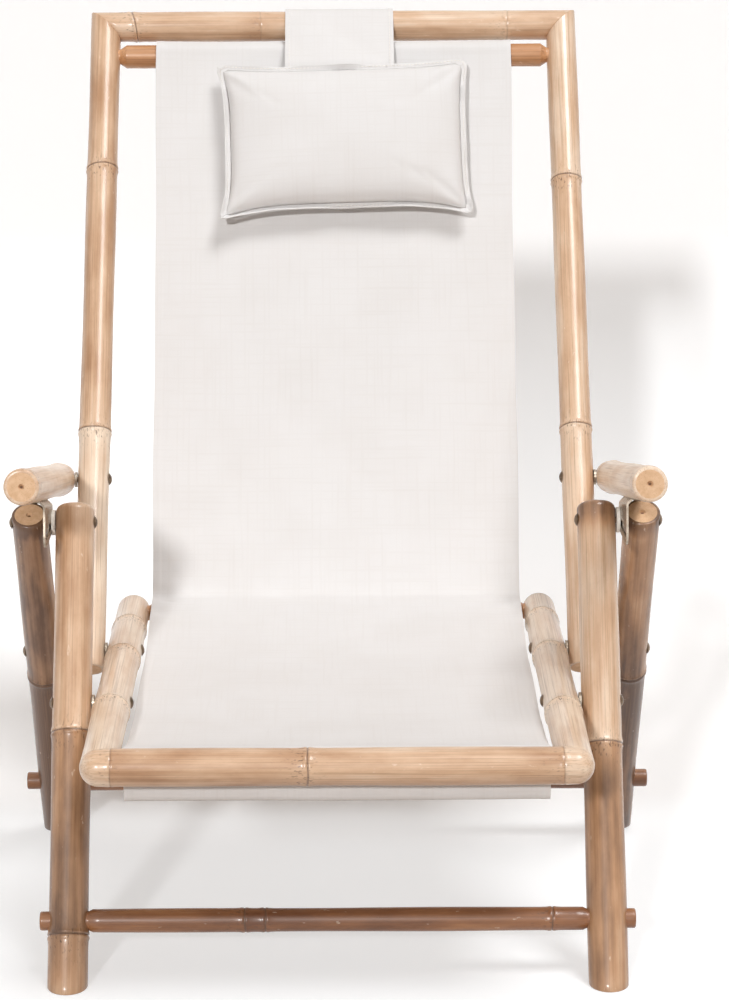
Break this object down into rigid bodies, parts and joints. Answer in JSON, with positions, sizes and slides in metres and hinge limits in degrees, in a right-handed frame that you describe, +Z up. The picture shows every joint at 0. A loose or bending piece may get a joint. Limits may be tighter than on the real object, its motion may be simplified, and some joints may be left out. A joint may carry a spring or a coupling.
{
  "type": "reclining deck chair",
  "caption": "Bamboo deck chair with a canvas sling, a head pillow and a back that reclines in steps as notched armrest brackets drop on the leg hinge.",
  "frame": {"origin": "on the floor, below the middle of the chair's box at its upright setting", "axes": "+X towards the sitter's left, +Y towards the back, +Z up"},
  "size_m": [0.6596, 0.8745, 0.8522],
  "materials": {
    "bamboo": "lacquered bamboo culm, satin",
    "canvas": "plain-woven cotton canvas, matte",
    "steel": "zinc-plated steel, satin",
    "nylon": "white nylon, matte",
    "dowel_wood": "beech, unfinished"
  },
  "bodies": {
    "base": {"left_front_leg": "bamboo", "right_front_leg": "bamboo", "left_rear_leg": "bamboo", "right_rear_leg": "bamboo", "front_stretcher": "bamboo", "rear_stretcher": "bamboo", "left_seat_pole": "bamboo", "right_seat_pole": "bamboo", "seat_front_rail": "bamboo", "seat_front_bar": "bamboo", "seat_rear_bar": "bamboo", "hinge_bolts": "steel", "hinge_sleeve_nuts": "steel", "hinge_spacers": "nylon", "hinge_washers": "steel", "seat_bolts": "steel", "seat_sleeve_nuts": "steel", "seat_washers": "steel", "pivot_bolts": "steel", "pivot_sleeve_nuts": "steel", "pivot_washers": "steel", "pivot_spacers": "steel", "seat_corner_dowels": "dowel_wood", "sling": "canvas"},
    "back": {"left_back_pole": "bamboo", "right_back_pole": "bamboo", "back_top_rail": "bamboo", "back_sling_bar": "bamboo", "back_corner_dowels": "dowel_wood", "armrest_bolts": "steel", "armrest_sleeve_nuts": "steel", "armrest_washers": "steel", "head_pillow": "canvas", "pillow_strap": "canvas"},
    "left_arm": {"left_armrest": "bamboo", "left_notched_bracket": "steel", "left_bracket_screws": "steel"},
    "right_arm": {"right_armrest": "bamboo", "right_notched_bracket": "steel", "right_bracket_screws": "steel"}
  },
  "joints": [
    {"name": "back_recline", "type": "hinge", "parent": "base", "child": "back", "pos_m": [0, -0.031, 0.24], "axis": [-1, 0, 0], "range_deg": [0, 25.5], "deforming": ["sling"]},
    {"name": "left_armrest_swing", "type": "hinge", "parent": "back", "child": "left_arm", "pos_m": [0.28895, 0.08439, 0.39258], "axis": [-1, 0, 0], "range_deg": [-12.6, 0]},
    {"name": "right_armrest_swing", "type": "hinge", "parent": "back", "child": "right_arm", "pos_m": [-0.28895, 0.08439, 0.39258], "axis": [-1, 0, 0], "range_deg": [-12.6, 0]}
  ],
  "couplings": [
    {"joint": "left_armrest_swing", "follows": "back_recline", "ratio": -0.48685},
    {"joint": "right_armrest_swing", "follows": "back_recline", "ratio": -0.48685}
  ]
}
